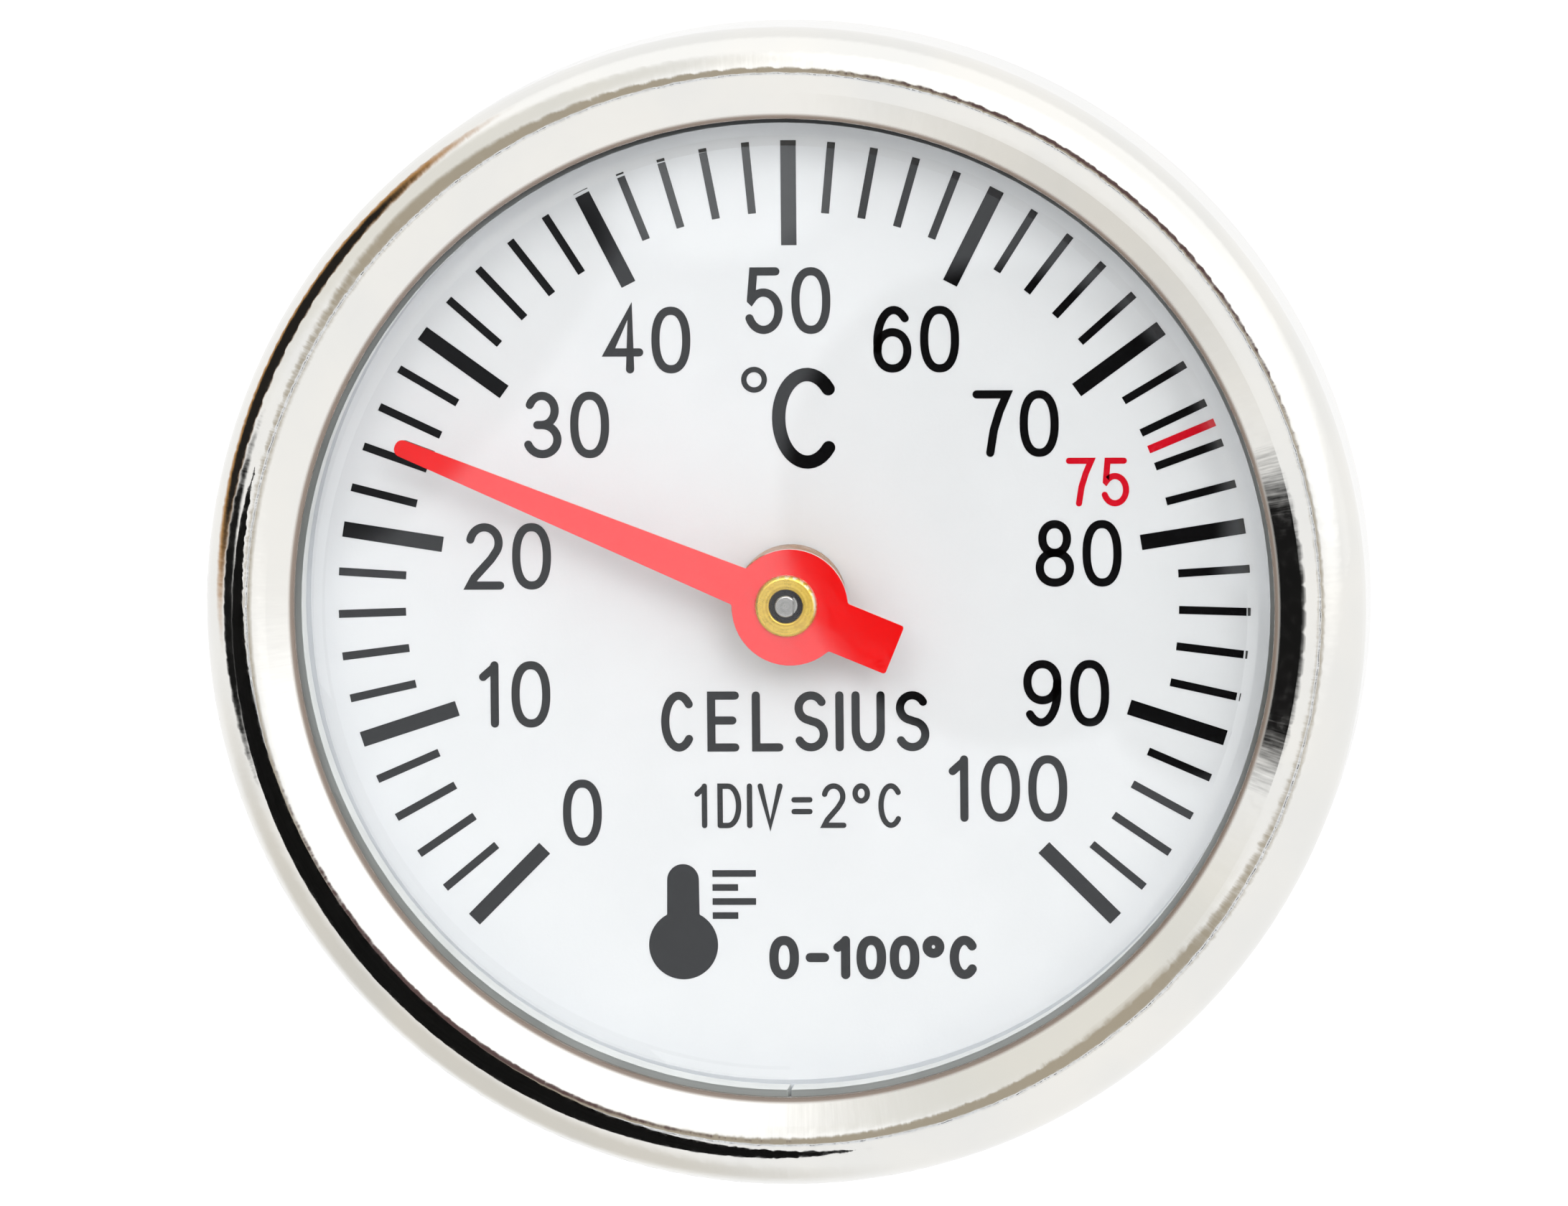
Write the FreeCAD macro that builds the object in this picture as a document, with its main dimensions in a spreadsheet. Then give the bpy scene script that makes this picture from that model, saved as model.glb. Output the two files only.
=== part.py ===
"""Bimetal dial thermometer: a round head with a dial and pointer in front, and a stem behind it.

The frame: +Y runs along the stem to its tip, -Y is the way the dial faces, and +Z is up, through the
50 degree mark. The origin is on the stem's axis, where the stem leaves the hex nut. Positions along the
axis are given as "fore", forward from the origin towards the dial, or "aft", along the stem.
"""
import FreeCAD, Part
import math
import os
import Sketcher
from types import SimpleNamespace

# name, millimetres or degrees, what it is
DRIVING = [
    ("stem_length", 127.0, "stem that shows, from the nut's face to its tip"),
    ("stem_diameter", 4.0, "outside of the stem tube"),
    ("stem_wall", 0.3, "wall of the stem tube"),
    ("tip_length", 1.6, "rounded end cap past the tube"),
    ("tip_rounding", 1.44, "outer radius of the rounded tip"),
    ("plug_length", 4.5, "tip plug inside the tube"),
    ("nut_flats", 10.0, "hex nut, across the flats"),
    ("nut_height", 6.0, "hex nut, along the axis"),
    ("nut_face_diameter", 10.36, "face of the nut inside its chamfer"),
    ("nut_chamfer", 0.7, "how far the nut's corners are turned down along the axis"),
    ("root_land_width", 0.4, "land round the stem's root, radially"),
    ("relief_width", 0.5, "groove in the nut's face round the land, radially"),
    ("relief_depth", 0.3, "its depth"),
    ("neck_diameter", 6.0, "neck of the nut, which the case turns on"),
    ("neck_clearance", 0.05, "radial running clearance of the case on the neck"),
    ("neck_reach", 2.0, "neck past the case floor"),
    ("nut_bore_diameter", 2.2, "bore through nut, neck and spigot"),
    ("spigot_length", 5.0, "nut's spigot, which the stem tube is brazed on"),
    ("friction_washer_thickness", 0.5, "fibre washer between nut and case"),
    ("friction_washer_width", 1.9, "its radial width"),
    ("spring_washer_thickness", 0.3, "conical spring washer inside the case"),
    ("spring_washer_height", 0.6, "its height over the cone"),
    ("spring_washer_width", 1.7, "its radial width"),
    ("clip_thickness", 0.6, "retaining clip in the neck's groove"),
    ("clip_width", 1.6, "its radial width"),
    ("clip_opening", 70.0, "angle that the clip is open over"),
    ("clip_end_rounding", 0.48, "corners of its ends"),
    ("groove_depth", 0.4, "groove in the neck for the clip"),
    ("front_bush_depth", 2.5, "front bush in the end of the neck"),
    ("front_bush_flange", 0.5, "thickness of its flange"),
    ("front_bush_overhang", 0.8, "how far its flange stands out over the bore"),
    ("guide_bush_length", 3.0, "each guide bush inside the stem tube"),
    ("guide_bush_gap", 4.0, "from the lower guide bush to the collet"),
    ("guide_bush_spacing", 40.0, "from one guide bush to the next"),
    ("shaft_diameter", 0.85, "pointer shaft"),
    ("shaft_clearance", 0.03, "radial running clearance of the shaft in its bushes"),
    ("shaft_proud", 0.08, "shaft past the rolled end of the pointer's boss"),
    ("shaft_flat_depth", 0.15, "flat on the shaft's front end"),
    ("shaft_flat_length", 0.6, "its length along the axis"),
    ("shaft_end_rounding", 0.075, "edge of the shaft's front end"),
    ("coil_length", 32.0, "bimetal helix along the axis"),
    ("coil_pitch", 1.6, "axial pitch of its turns"),
    ("coil_strip_width", 1.0, "bimetal strip, along the axis"),
    ("coil_strip_thickness", 0.2, "bimetal strip, radially"),
    ("coil_clearance", 0.2, "radial clearance of the helix in the tube"),
    ("collet_length", 3.0, "brass collet on the shaft's inner end"),
    ("collet_flange", 0.5, "thickness of its flange, which the helix is welded to"),
    ("case_wall", 0.5, "sheet of the case"),
    ("case_back_diameter", 37.0, "case behind the dial"),
    ("case_depth", 4.5, "case back to the front of its flange, where the dial sits"),
    ("case_back_rounding", 1.6, "outer radius of the drawn corner at the back"),
    ("case_rounding", 0.4, "drawn corner at the flange"),
    ("flange_clearance", 0.1, "radial clearance of the case flange in the bezel"),
    ("dial_thickness", 0.4, "dial plate"),
    ("dial_clearance", 0.4, "radial clearance of the dial in the bezel"),
    ("dial_hole_diameter", 2.4, "hole in the dial for the shaft"),
    ("ring_inset", 0.2, "spacer and gasket inside the bezel opening, radially"),
    ("ring_width", 2.6, "radial width of spacer and gasket"),
    ("ring_edge_rounding", 0.15, "their inner edges where they meet"),
    ("spacer_height", 1.8, "closed ring on the dial"),
    ("gasket_height", 2.0, "soft split ring between spacer and lens"),
    ("gasket_split_angle", 0.5, "angle of its split"),
    ("lens_edge", 0.8, "thickness of the lens at its rim"),
    ("lens_rise", 0.03, "height of the lens's raised centre"),
    ("lens_bevel", 0.4, "radial width of the shallow bevel round its centre"),
    ("lens_step_clearance", 0.65, "radial gap of the bevel's foot inside the bezel opening"),
    ("lens_overlap", 2.4, "lens past the bezel opening, radially"),
    ("bezel_diameter", 45.0, "outside of the bezel"),
    ("bezel_opening", 38.0, "opening of the bezel"),
    ("bezel_wall", 0.5, "sheet of the bezel"),
    ("bezel_lip", 0.4, "thickness of its lip over the lens"),
    ("bezel_lip_width", 0.6, "flat of the lip on the lens"),
    ("bezel_lip_rounding", 0.18, "front edge of the lip"),
    ("bezel_rise", 1.4, "lip to the corner of the crest, before rounding"),
    ("bezel_crest_inset", 0.85, "corner of the crest inside the outer radius"),
    ("bezel_shoulder_drop", 2.2, "corner of the crest to the shoulder"),
    ("bezel_crest_rounding", 1.6, "outer radius at the crest"),
    ("bezel_shoulder_rounding", 1.8, "outer radius at the shoulder"),
    ("bezel_hollow_drop", 0.675, "corner inside the crest, behind the outer corner"),
    ("bezel_hollow_inset", 0.25, "corner inside the crest, closer to the axis than the outer corner"),
    ("bezel_hollow_rounding", 1.1, "inside radius at the crest"),
    ("bezel_skirt_drop", 0.125, "corner inside the shoulder, behind the outer corner"),
    ("bezel_crimp_rounding", 0.45, "outer radius of the crimped edge"),
    ("bezel_crimp_width", 1.8, "crimped edge behind the case flange, radially"),
    ("pointer_gap", 0.2, "dial to the pointer's boss"),
    ("boss_diameter", 4.3, "brass boss behind the pointer"),
    ("boss_height", 2.75, "boss behind the pointer"),
    ("boss_spigot_diameter", 1.9, "boss through the pointer's hole"),
    ("boss_roll_diameter", 2.44, "rolled end of the boss in front of the pointer"),
    ("boss_roll_height", 0.22, "its height"),
    ("boss_roll_rounding", 0.176, "its outer edge"),
    ("boss_sink_diameter", 1.26, "sink round the end of the shaft"),
    ("boss_sink_depth", 0.9, "its depth"),
    ("boss_sink_rounding", 0.099, "its edge"),
    ("pointer_thickness", 0.3, "pointer plate"),
    ("pointer_hub_diameter", 4.52, "round middle of the pointer"),
    ("pointer_hub_offset", 0.16, "middle of the hub from the axis, towards the tail"),
    ("pointer_length", 16.4, "axis to the point"),
    ("pointer_root_width", 1.64, "arm at the axis"),
    ("pointer_tip_width", 0.64, "arm at the point"),
    ("pointer_tip_rounding", 0.288, "corners at the point"),
    ("pointer_tail_length", 4.55, "axis to the end of the tail"),
    ("pointer_tail_width", 2.0, "tail"),
    ("pointer_joint_rounding", 0.12, "inside corners at the hub"),
    ("pointer_corner_rounding", 0.12, "corners of the tail"),
    ("mark_middle", 50.0, "reading of the mark at the top of the dial"),
    ("mark_angle", 2.7, "turn of the pointer for one degree Celsius"),
    ("reading_at_rest", 25.0, "reading that the pointer is set to"),
]

doc = FreeCAD.newDocument("dial_thermometer")
sheet = doc.addObject("Spreadsheet::Sheet", "dims")


class Size:
    """A value with the spreadsheet formula that drives it; sums and products keep both."""

    def __init__(self, value, formula=None):
        self.value = value
        self.formula = formula or repr(value)

    def combined(self, sign, other, value):
        return Size(value, f"({self.formula} {sign} {other.formula})")

    def __add__(self, other):
        other = as_size(other)
        return self.combined("+", other, self.value + other.value)

    def __sub__(self, other):
        other = as_size(other)
        return self.combined("-", other, self.value - other.value)

    def __mul__(self, other):
        other = as_size(other)
        return self.combined("*", other, self.value * other.value)

    def __truediv__(self, other):
        other = as_size(other)
        return self.combined("/", other, self.value / other.value)

    def __neg__(self):
        return Size(-self.value, f"(0 - {self.formula})")

    __radd__ = __add__
    __rmul__ = __mul__


def as_size(value):
    return value if isinstance(value, Size) else Size(float(value))


def fill_sheet():
    """Writes the driving dimensions to the sheet and returns them as sizes by name."""
    sizes = {}
    for row, (name, value, meaning) in enumerate(DRIVING, start=1):
        sheet.set(f"A{row}", name)
        sheet.set(f"B{row}", str(value))
        sheet.set(f"C{row}", meaning)
        sheet.setAlias(f"B{row}", name)
        sizes[name] = Size(value, f"dims.{name}")
    doc.recompute()
    return SimpleNamespace(**sizes)


d = fill_sheet()
ZERO = as_size(0)
FULL_TURN = as_size(360)
PAST = as_size(1)  # how far a cut runs past the metal
MATCH = 1e-4  # closer than this, two positions are the same

# Radii.
stem_radius = d.stem_diameter / 2
tube_bore = stem_radius - d.stem_wall
shaft_radius = d.shaft_diameter / 2
shaft_bore = shaft_radius + d.shaft_clearance
nut_bore = d.nut_bore_diameter / 2
neck_radius = d.neck_diameter / 2
neck_bore = neck_radius + d.neck_clearance
case_back_radius = d.case_back_diameter / 2
bezel_radius = d.bezel_diameter / 2
bezel_bore = bezel_radius - d.bezel_wall
opening_radius = d.bezel_opening / 2
case_flange_radius = bezel_bore - d.flange_clearance
dial_radius = bezel_bore - d.dial_clearance
ring_bore = opening_radius - d.ring_inset
ring_radius = ring_bore + d.ring_width
lens_radius = opening_radius + d.lens_overlap
coil_radius = tube_bore - d.coil_clearance

# Stations forward of the origin.
case_back = d.nut_height + d.friction_washer_thickness
case_floor = case_back + d.case_wall
clip_back = case_floor + d.spring_washer_height
clip_front = clip_back + d.clip_thickness
neck_front = case_floor + d.neck_reach
dial_seat = case_back + d.case_depth
dial_front = dial_seat + d.dial_thickness
flange_back = dial_seat - d.case_wall
crimp_back = flange_back - d.bezel_wall
gasket_back = dial_front + d.spacer_height
lens_back = gasket_back + d.gasket_height
lens_edge_front = lens_back + d.lens_edge
lip_front = lens_edge_front + d.bezel_lip
crest_front = lip_front + d.bezel_rise
shoulder = crest_front - d.bezel_shoulder_drop
boss_back = dial_front + d.pointer_gap
pointer_back = boss_back + d.boss_height
pointer_front = pointer_back + d.pointer_thickness
roll_front = pointer_front + d.boss_roll_height
shaft_front = roll_front + d.shaft_proud

# Stations aft of the origin, along the stem.
tube_end = d.stem_length - d.tip_length
plug_face = tube_end - d.plug_length
collet_face = plug_face - d.coil_length
guide_end = collet_face - d.collet_length - d.guide_bush_gap

# The pointer is drawn upright and turned to the reading that it shows at rest.
rest_turn = (d.reading_at_rest - d.mark_middle) * d.mark_angle


def new_body(label):
    body = doc.addObject("PartDesign::Body", label)
    body.Label = label
    return body


def plane_of(body, role):
    return next(f for f in body.Origin.OriginFeatures if f.Role == role)


def bind(sketch, size, kind, *elements):
    """Adds a sketch constraint whose value follows the spreadsheet."""
    index = sketch.addConstraint(Sketcher.Constraint(kind, *elements, size.value))
    sketch.setExpression(f"Constraints[{index}]", size.formula)


def outline(body, name, plane, corners):
    """A closed outline of straight edges; each corner is a pair of sizes in the plane's own axes."""
    sketch = body.newObject("Sketcher::SketchObject", name)
    sketch.AttachmentSupport = (plane_of(body, plane), [""])
    sketch.MapMode = "FlatFace"
    corners = [(as_size(x), as_size(y)) for x, y in corners]
    points = [FreeCAD.Vector(x.value, y.value, 0) for x, y in corners]
    for start, end in zip(points, points[1:] + points[:1]):
        sketch.addGeometry(Part.LineSegment(start, end), False)
    for line, (x, y) in enumerate(corners):
        following = (line + 1) % len(corners)
        sketch.addConstraint(Sketcher.Constraint("Coincident", line, 2, following, 1))
        bind(sketch, x, "DistanceX", -1, 1, line, 1)
        bind(sketch, y, "DistanceY", -1, 1, line, 1)
    return sketch


def disc(body, name, radius, height=ZERO):
    """A circle across the axis, its centre at the given height over the axis."""
    sketch = body.newObject("Sketcher::SketchObject", name)
    sketch.AttachmentSupport = (plane_of(body, "XZ_Plane"), [""])
    sketch.MapMode = "FlatFace"
    centre = FreeCAD.Vector(0, height.value, 0)
    sketch.addGeometry(Part.Circle(centre, FreeCAD.Vector(0, 0, 1), radius.value), False)
    bind(sketch, radius, "Radius", 0)
    bind(sketch, ZERO, "DistanceX", -1, 1, 0, 3)
    bind(sketch, height, "DistanceY", -1, 1, 0, 3)
    return sketch


def half_section(body, name, corners):
    """An outline of (fore, radius) corners beside the axis. Aft stations are negative."""
    return outline(body, name, "YZ_Plane", [(-as_size(fore), r) for fore, r in corners])


def turned(label, corners, angle=FULL_TURN):
    """A body turned from a half section; an angle under 360 leaves a gap at the bottom."""
    body = new_body(label)
    revolution = body.newObject("PartDesign::Revolution", label + "_turning")
    revolution.Profile = half_section(body, label + "_section", corners)
    revolution.ReferenceAxis = (revolution.Profile[0], ["H_Axis"])
    revolution.Midplane = True
    revolution.setExpression("Angle", angle.formula)
    doc.recompute()
    return body


def cut_turned(body, name, corners):
    """Turns a half section away from the body."""
    groove = body.newObject("PartDesign::Groove", name)
    groove.Profile = half_section(body, name + "_section", corners)
    groove.ReferenceAxis = (groove.Profile[0], ["H_Axis"])
    doc.recompute()


def padded(body, name, sketch, back, thickness):
    """A pad across the axis from the station back, thickness towards the front."""
    sketch.setExpression("AttachmentOffset.Base.z", back.formula)
    pad = body.newObject("PartDesign::Pad", name)
    pad.Profile = sketch
    pad.setExpression("Length", thickness.formula)
    doc.recompute()


def cut_across(body, name, sketch, front, depth):
    """A pocket across the axis, from the station front for depth towards the stem."""
    sketch.setExpression("AttachmentOffset.Base.z", front.formula)
    pocket = body.newObject("PartDesign::Pocket", name)
    pocket.Profile = sketch
    pocket.setExpression("Length", depth.formula)
    doc.recompute()


def rounded(body, name, radius, edges):
    base = body.Tip
    fillet = body.newObject("PartDesign::Fillet", name)
    fillet.Base = (base, edges)
    fillet.setExpression("Radius", radius.formula)
    doc.recompute()


def round_rings(body, name, radius, rings):
    """Rounds the circular edges at the given (fore, radius) corners."""
    names = []
    for fore, r in rings:
        for number, edge in enumerate(body.Shape.Edges, start=1):
            curve = edge.Curve
            if not isinstance(curve, Part.Circle):
                continue
            if abs(curve.Center.y + fore.value) < MATCH and abs(curve.Radius - r.value) < MATCH:
                names.append(f"Edge{number}")
    rounded(body, name, radius, names)


def round_uprights(body, name, radius, chosen):
    """Rounds the straight edges along the axis whose (x, z) satisfies chosen."""
    names = []
    for number, edge in enumerate(body.Shape.Edges, start=1):
        ends = [v.Point for v in edge.Vertexes]
        if len(ends) != 2 or not chosen(ends[0].x, ends[0].z):
            continue
        if math.hypot(ends[0].x - ends[1].x, ends[0].z - ends[1].z) < MATCH:
            names.append(f"Edge{number}")
    rounded(body, name, radius, names)


# ---- The stem ----


def make_stem_tube():
    turned("stem_tube", [
        (ZERO, tube_bore),
        (ZERO, stem_radius),
        (-tube_end, stem_radius),
        (-tube_end, tube_bore),
    ])


def make_tip_plug():
    body = turned("tip_plug", [
        (-plug_face, ZERO),
        (-plug_face, tube_bore),
        (-tube_end, tube_bore),
        (-tube_end, stem_radius),
        (-d.stem_length, stem_radius),
        (-d.stem_length, ZERO),
    ])
    round_rings(body, "tip_dome", d.tip_rounding, [(-d.stem_length, stem_radius)])


def make_calibration_nut():
    """Hex nut with a neck in front that carries the case, and a spigot aft that carries the stem.

    A groove in its aft face keeps the edge of a hole clear of the braze at the stem's root.
    """
    body = new_body("calibration_nut")
    half_flat = d.nut_flats / 2
    corner = d.nut_flats / math.sqrt(3)
    hexagon = outline(body, "nut_hexagon", "XZ_Plane", [
        (half_flat, corner / 2),
        (ZERO, corner),
        (-half_flat, corner / 2),
        (-half_flat, -corner / 2),
        (ZERO, -corner),
        (half_flat, -corner / 2),
    ])
    padded(body, "nut_pad", hexagon, ZERO, d.nut_height)
    padded(body, "neck_pad", disc(body, "neck_circle", neck_radius), d.nut_height,
           neck_front - d.nut_height)
    padded(body, "spigot_pad", disc(body, "spigot_circle", tube_bore), -d.spigot_length,
           d.spigot_length)
    past_corner = corner + PAST
    chamfer_foot = d.nut_face_diameter / 2
    chamfer_depth = d.nut_chamfer * (past_corner - chamfer_foot) / (corner - chamfer_foot)
    cut_turned(body, "nut_chamfer_aft", [
        (ZERO, chamfer_foot), (chamfer_depth, past_corner), (ZERO, past_corner),
    ])
    cut_turned(body, "nut_chamfer_fore", [
        (d.nut_height, chamfer_foot), (d.nut_height, past_corner),
        (d.nut_height - chamfer_depth, past_corner),
    ])
    land = stem_radius + d.root_land_width
    cut_turned(body, "root_relief", [
        (ZERO, land), (d.relief_depth, land),
        (d.relief_depth, land + d.relief_width), (ZERO, land + d.relief_width),
    ])
    cut_turned(body, "nut_bore", [
        (-d.spigot_length, ZERO), (-d.spigot_length, nut_bore),
        (neck_front, nut_bore), (neck_front, ZERO),
    ])
    cut_turned(body, "clip_groove", [
        (clip_back, neck_radius - d.groove_depth), (clip_back, neck_radius + PAST),
        (clip_front, neck_radius + PAST), (clip_front, neck_radius - d.groove_depth),
    ])


def make_friction_washer():
    outer = neck_bore + d.friction_washer_width
    turned("friction_washer", [
        (d.nut_height, neck_bore), (d.nut_height, outer), (case_back, outer), (case_back, neck_bore),
    ])


def make_spring_washer():
    """Conical washer: its outer edge bears on the case floor, its inner edge on the clip."""
    outer = neck_bore + d.spring_washer_width
    turned("spring_washer", [
        (case_floor, outer),
        (case_floor + d.spring_washer_thickness, outer),
        (clip_back, neck_bore),
        (clip_back - d.spring_washer_thickness, neck_bore),
    ])


def make_retaining_clip():
    inner = neck_radius - d.groove_depth
    body = turned("retaining_clip", [
        (clip_back, inner), (clip_back, inner + d.clip_width),
        (clip_front, inner + d.clip_width), (clip_front, inner),
    ], angle=FULL_TURN - d.clip_opening)
    round_uprights(body, "clip_ends", d.clip_end_rounding, lambda x, z: z < 0)


def make_front_bush():
    """Brass bush in the end of the neck, the shaft's front bearing."""
    flange = nut_bore + d.front_bush_overhang
    bush_back = neck_front - d.front_bush_depth
    turned("front_bush", [
        (bush_back, shaft_bore),
        (bush_back, nut_bore),
        (neck_front, nut_bore),
        (neck_front, flange),
        (neck_front + d.front_bush_flange, flange),
        (neck_front + d.front_bush_flange, shaft_bore),
    ])


def make_guide_bushes():
    """Two bushes pressed in the stem tube, which keep the long shaft on the axis."""
    end = guide_end
    for label in ("guide_bush_lower", "guide_bush_upper"):
        start = end - d.guide_bush_length
        turned(label, [(-start, shaft_bore), (-start, tube_bore), (-end, tube_bore), (-end, shaft_bore)])
        end = end - d.guide_bush_spacing


def make_bimetal_coil():
    """Helical bimetal strip between the collet's flange and the tip plug, ends cut flat."""
    body = new_body("bimetal_coil")
    inner = coil_radius - d.coil_strip_thickness
    start = collet_face - d.coil_strip_width
    helix = body.newObject("PartDesign::AdditiveHelix", "coil_helix")
    helix.Profile = half_section(body, "coil_strip", [
        (-start, inner), (-start, coil_radius),
        (-collet_face, coil_radius), (-collet_face, inner),
    ])
    helix.ReferenceAxis = (helix.Profile[0], ["H_Axis"])
    helix.Mode = "pitch-height-angle"
    helix.setExpression("Pitch", d.coil_pitch.formula)
    helix.setExpression("Height", (d.coil_length + d.coil_strip_width).formula)
    doc.recompute()
    trim = coil_radius + PAST
    cut_turned(body, "coil_end_fore", [
        (PAST - start, ZERO), (PAST - start, trim), (-collet_face, trim), (-collet_face, ZERO),
    ])
    past = plug_face + d.coil_strip_width + PAST
    cut_turned(body, "coil_end_aft", [
        (-plug_face, ZERO), (-plug_face, trim), (-past, trim), (-past, ZERO),
    ])


# ---- The pointer and its shaft ----


def make_shaft():
    """The pointer's shaft, with a flat at its front end."""
    body = turned("shaft", [
        (shaft_front, ZERO), (shaft_front, shaft_radius),
        (-collet_face, shaft_radius), (-collet_face, ZERO),
    ])
    round_rings(body, "shaft_end", d.shaft_end_rounding, [(shaft_front, shaft_radius)])
    face = shaft_radius - d.shaft_flat_depth
    past = shaft_radius + PAST
    flat = outline(body, "flat_outline", "XZ_Plane", [
        (face, -past), (past, -past), (past, past), (face, past),
    ])
    cut_across(body, "shaft_flat", flat, shaft_front + PAST, d.shaft_flat_length + PAST)


def make_collet():
    """Brass collet pressed on the shaft; the helix is welded to its flange."""
    start = collet_face - d.collet_length
    sleeve = coil_radius - d.coil_strip_thickness
    turned("coil_collet", [
        (-start, shaft_radius),
        (-start, sleeve),
        (-collet_face + d.collet_flange, sleeve),
        (-collet_face + d.collet_flange, coil_radius),
        (-collet_face, coil_radius),
        (-collet_face, shaft_radius),
    ])


def make_pointer_boss():
    """Brass boss that holds the pointer: pressed on the shaft, rolled over in front of the plate."""
    spigot = d.boss_spigot_diameter / 2
    roll = d.boss_roll_diameter / 2
    sink = d.boss_sink_diameter / 2
    body = turned("pointer_boss", [
        (boss_back, shaft_radius),
        (boss_back, d.boss_diameter / 2),
        (pointer_back, d.boss_diameter / 2),
        (pointer_back, spigot),
        (pointer_front, spigot),
        (pointer_front, roll),
        (roll_front, roll),
        (roll_front, sink),
        (roll_front - d.boss_sink_depth, sink),
        (roll_front - d.boss_sink_depth, shaft_radius),
    ])
    round_rings(body, "boss_roll", d.boss_roll_rounding, [(roll_front, roll)])
    round_rings(body, "boss_sink_edge", d.boss_sink_rounding, [(roll_front, sink)])


def make_pointer():
    body = new_body("pointer")
    root = d.pointer_root_width / 2
    point = d.pointer_tip_width / 2
    tail = d.pointer_tail_width / 2
    hub = d.pointer_hub_diameter / 2
    hub_circle = disc(body, "hub_circle", hub, -d.pointer_hub_offset)
    padded(body, "pointer_hub", hub_circle, pointer_back, d.pointer_thickness)
    arm = outline(body, "arm_outline", "XZ_Plane", [
        (-root, ZERO), (root, ZERO), (point, d.pointer_length), (-point, d.pointer_length),
    ])
    padded(body, "pointer_arm", arm, pointer_back, d.pointer_thickness)
    tail_outline = outline(body, "tail_outline", "XZ_Plane", [
        (-tail, ZERO), (-tail, -d.pointer_tail_length), (tail, -d.pointer_tail_length), (tail, ZERO),
    ])
    padded(body, "pointer_tail", tail_outline, pointer_back, d.pointer_thickness)

    def on_hub(x, z):
        return abs(math.hypot(x, z + d.pointer_hub_offset.value) - hub.value) < MATCH < abs(x)

    def at_point(x, z):
        return abs(z - d.pointer_length.value) < MATCH

    def at_tail(x, z):
        return abs(z + d.pointer_tail_length.value) < MATCH

    round_uprights(body, "hub_corners", d.pointer_joint_rounding, on_hub)
    round_uprights(body, "point_corners", d.pointer_tip_rounding, at_point)
    round_uprights(body, "tail_corners", d.pointer_corner_rounding, at_tail)
    cut_turned(body, "pointer_hole", [
        (pointer_back - PAST, ZERO), (pointer_back - PAST, d.boss_spigot_diameter / 2),
        (pointer_front + PAST, d.boss_spigot_diameter / 2), (pointer_front + PAST, ZERO),
    ])
    body.Placement = FreeCAD.Placement(FreeCAD.Vector(), FreeCAD.Rotation(FreeCAD.Vector(0, 1, 0), 1))
    body.setExpression("Placement.Rotation.Angle", rest_turn.formula)


# ---- The head ----


def make_case():
    """Drawn cup: a floor that turns on the neck, a wall, and the flange that carries the dial."""
    inside = case_back_radius - d.case_wall
    body = turned("case", [
        (case_back, neck_bore),
        (case_back, case_back_radius),
        (flange_back, case_back_radius),
        (flange_back, case_flange_radius),
        (dial_seat, case_flange_radius),
        (dial_seat, inside),
        (case_floor, inside),
        (case_floor, neck_bore),
    ])
    round_rings(body, "case_back_corner", d.case_back_rounding, [(case_back, case_back_radius)])
    round_rings(body, "case_floor_corner", d.case_back_rounding - d.case_wall, [(case_floor, inside)])
    round_rings(body, "flange_back_corner", d.case_rounding, [(flange_back, case_back_radius)])
    round_rings(body, "flange_front_corner", d.case_rounding + d.case_wall, [(dial_seat, inside)])


def make_dial_plate():
    turned("dial_plate", [
        (dial_seat, d.dial_hole_diameter / 2), (dial_seat, dial_radius),
        (dial_front, dial_radius), (dial_front, d.dial_hole_diameter / 2),
    ])


def make_spacer_ring():
    """Closed ring that holds the dial down on the case flange."""
    body = turned("spacer_ring", [
        (dial_front, ring_bore), (dial_front, ring_radius),
        (gasket_back, ring_radius), (gasket_back, ring_bore),
    ])
    round_rings(body, "spacer_edge", d.ring_edge_rounding, [(gasket_back, ring_bore)])


def make_lens_gasket():
    """Soft strip bent into a ring under the lens, its ends meeting at the bottom."""
    body = turned("lens_gasket", [
        (gasket_back, ring_bore), (gasket_back, ring_radius),
        (lens_back, ring_radius), (lens_back, ring_bore),
    ], angle=FULL_TURN - d.gasket_split_angle)
    round_rings(body, "gasket_edge", d.ring_edge_rounding, [(gasket_back, ring_bore)])


def make_lens():
    """Clear lens: a flat rim under the bezel's lip, and a centre that a shallow bevel raises a little."""
    foot = opening_radius - d.lens_step_clearance
    face = foot - d.lens_bevel
    front = lens_edge_front + d.lens_rise
    turned("lens", [
        (lens_back, ZERO),
        (lens_back, lens_radius),
        (lens_edge_front, lens_radius),
        (lens_edge_front, foot),
        (front, face),
        (front, ZERO),
    ])


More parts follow.
